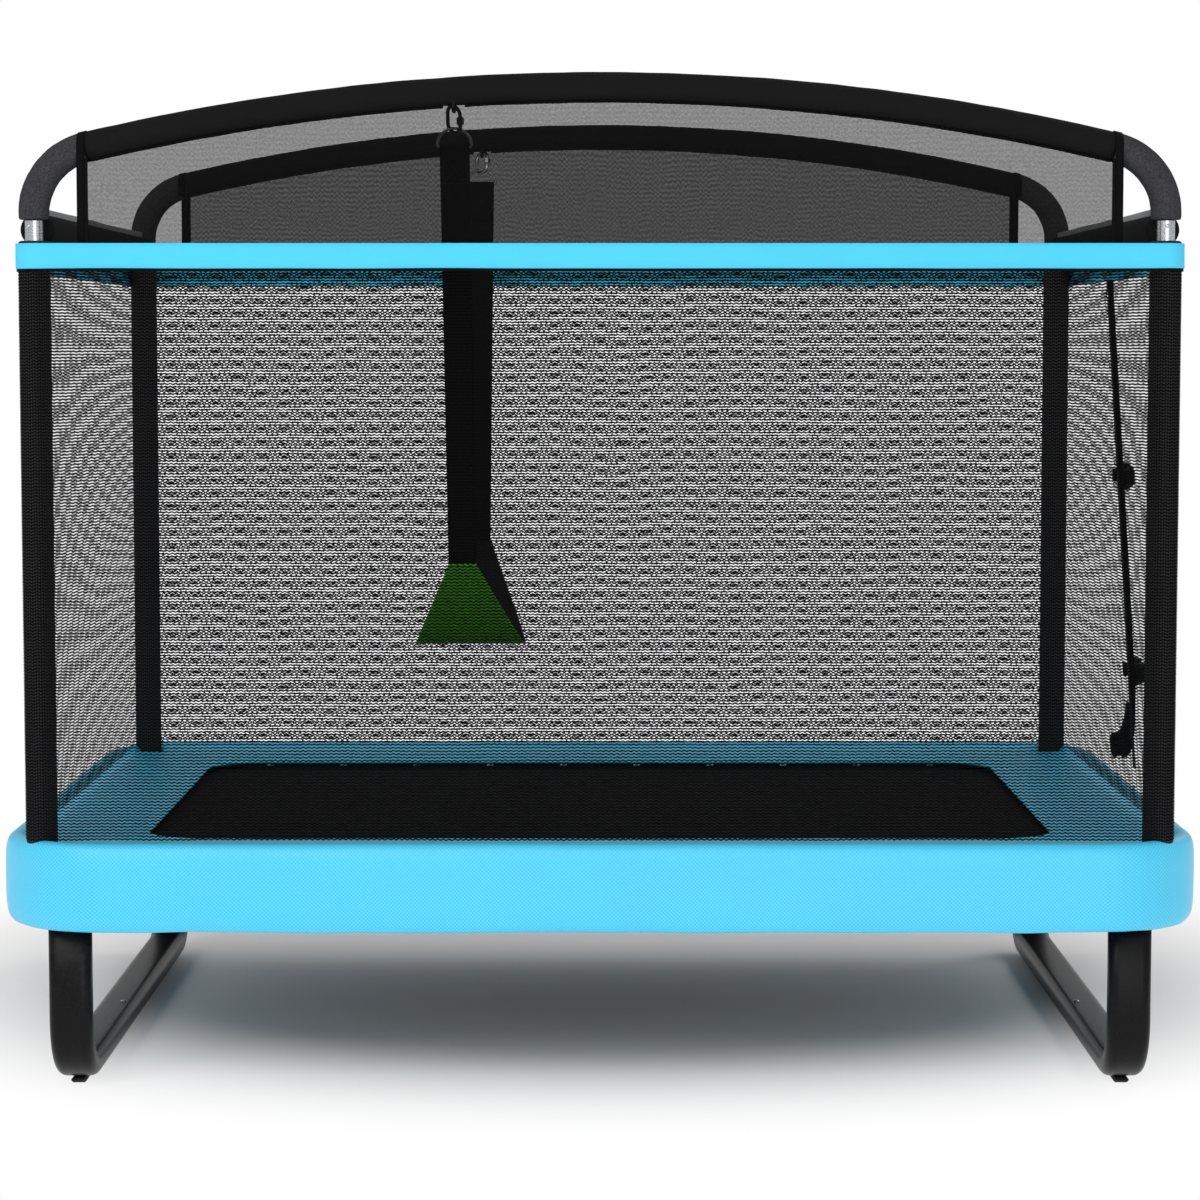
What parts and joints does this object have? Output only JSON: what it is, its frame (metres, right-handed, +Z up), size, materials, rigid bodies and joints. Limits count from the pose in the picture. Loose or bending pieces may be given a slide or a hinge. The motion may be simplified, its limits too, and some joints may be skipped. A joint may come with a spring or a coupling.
{
  "type": "trampoline with net enclosure and swing",
  "caption": "Rectangular children's trampoline on U legs with a padded edge, net enclosure, arches over the long sides and a hanging sling swing.",
  "frame": {"origin": "on the floor under the middle of the mat", "axes": "+X to the right along the long side, +Y from the front to the back, +Z up"},
  "size_m": [1.9106, 1.3646, 1.606],
  "materials": {
    "black_steel": "satin black powder coat on steel tube",
    "bright_steel": "galvanised steel",
    "grey_foam": "matte grey foam",
    "black_sleeve_fabric": "woven polyester",
    "black_net": "knitted polyester net",
    "cyan_pad_cover": "coated fabric over foam",
    "cyan_band": "woven polyester",
    "mat_weave": "woven polypropylene",
    "black_plastic": "moulded, fine texture",
    "black_webbing": "woven webbing",
    "green_seat_fabric": "coated woven fabric"
  },
  "bodies": {
    "frame": {"arch_back": "black_steel", "arch_front": "black_steel", "arch_sleeve_back": "black_sleeve_fabric", "arch_sleeve_front": "black_sleeve_fabric", "bend_foam_back_left": "grey_foam", "bend_foam_back_right": "grey_foam", "bend_foam_front_left": "grey_foam", "bend_foam_front_right": "grey_foam", "buckle_female_lower": "black_plastic", "buckle_female_upper": "black_plastic", "foot_back_left": "black_plastic", "foot_back_right": "black_plastic", "foot_front_left": "black_plastic", "foot_front_right": "black_plastic", "frame_half_left": "black_steel", "frame_half_right": "black_steel", "leg_left": "black_steel", "leg_right": "black_steel", "mat_springs": "bright_steel", "net_back": "black_net", "net_front": "black_net", "net_left": "black_net", "net_right_back": "black_net", "net_right_front": "black_net", "post_back_left": "bright_steel", "post_back_right": "bright_steel", "post_foam_back_left": "grey_foam", "post_foam_back_right": "grey_foam", "post_foam_front_left": "grey_foam", "post_foam_front_right": "grey_foam", "post_front_left": "bright_steel", "post_front_right": "bright_steel", "rail_screw_left": "bright_steel", "rail_screw_right": "bright_steel", "safety_pad": "cyan_pad_cover", "side_rail_foam_left": "grey_foam", "side_rail_foam_right": "grey_foam", "side_rail_left": "bright_steel", "side_rail_right": "bright_steel", "top_band": "cyan_band", "upper_net_back": "black_net", "upper_net_front": "black_net", "zip_cover": "black_sleeve_fabric", "zip_tape": "black_sleeve_fabric"},
    "link_front": {"quick_link_front": "bright_steel"},
    "link_back": {"quick_link_back": "bright_steel"},
    "swing": {"d_ring_front": "black_steel", "d_ring_back": "black_steel", "swing_strap_front": "black_webbing", "swing_strap_back": "black_webbing", "swing_seat": "green_seat_fabric"},
    "mat": {"mat": "mat_weave"},
    "slider": {"zip_slider": "bright_steel"},
    "buckle_upper": {"buckle_male_upper": "black_plastic"},
    "buckle_lower": {"buckle_male_lower": "black_plastic"},
    "button_front_left": {"snap_button_front_left": "bright_steel"},
    "button_front_right": {"snap_button_front_right": "bright_steel"},
    "button_back_left": {"snap_button_back_left": "bright_steel"},
    "button_back_right": {"snap_button_back_right": "bright_steel"}
  },
  "joints": [
    {"name": "link_front_swing", "type": "hinge", "parent": "frame", "child": "link_front", "pos_m": [-0.227, -0.60829, 1.54553], "axis": [0, 1, 0], "range_deg": [-28, 28]},
    {"name": "link_back_swing", "type": "hinge", "parent": "frame", "child": "link_back", "pos_m": [-0.227, 0.60829, 1.54553], "axis": [0, 1, 0], "range_deg": [-28, 28]},
    {"name": "seat_swing", "type": "hinge", "parent": "link_front", "child": "swing", "pos_m": [-0.227, -0.60829, 1.51338], "axis": [0, 1, 0], "range_deg": [-8, 8]},
    {"name": "mat_bounce", "type": "slide", "parent": "frame", "child": "mat", "axis": [0, 0, 1], "range_m": [-0.12, 0], "stiffness_N_per_m": 4000, "springref_m": 0.01, "deforming": ["mat_springs"]},
    {"name": "zip_travel", "type": "slide", "parent": "frame", "child": "slider", "axis": [0, -0.3939, -0.9191], "range_m": [0, 0.8]},
    {"name": "upper_buckle_release", "type": "slide", "parent": "frame", "child": "buckle_upper", "axis": [0, -1, 0], "range_m": [0, 0.026]},
    {"name": "lower_buckle_release", "type": "slide", "parent": "frame", "child": "buckle_lower", "axis": [0, -1, 0], "range_m": [0, 0.026]},
    {"name": "button_press_front_left", "type": "slide", "parent": "frame", "child": "button_front_left", "axis": [0.4226, 0.9063, 0], "range_m": [0, 0.004], "stiffness_N_per_m": 500, "springref_m": -0.002},
    {"name": "button_press_front_right", "type": "slide", "parent": "frame", "child": "button_front_right", "axis": [0, 1, 0], "range_m": [0, 0.004], "stiffness_N_per_m": 500, "springref_m": -0.002},
    {"name": "button_press_back_left", "type": "slide", "parent": "frame", "child": "button_back_left", "axis": [0, -1, 0], "range_m": [0, 0.004], "stiffness_N_per_m": 500, "springref_m": -0.002},
    {"name": "button_press_back_right", "type": "slide", "parent": "frame", "child": "button_back_right", "axis": [0, -1, 0], "range_m": [0, 0.004], "stiffness_N_per_m": 500, "springref_m": -0.002}
  ],
  "couplings": [
    {"joint": "link_back_swing", "follows": "link_front_swing", "ratio": 1}
  ]
}
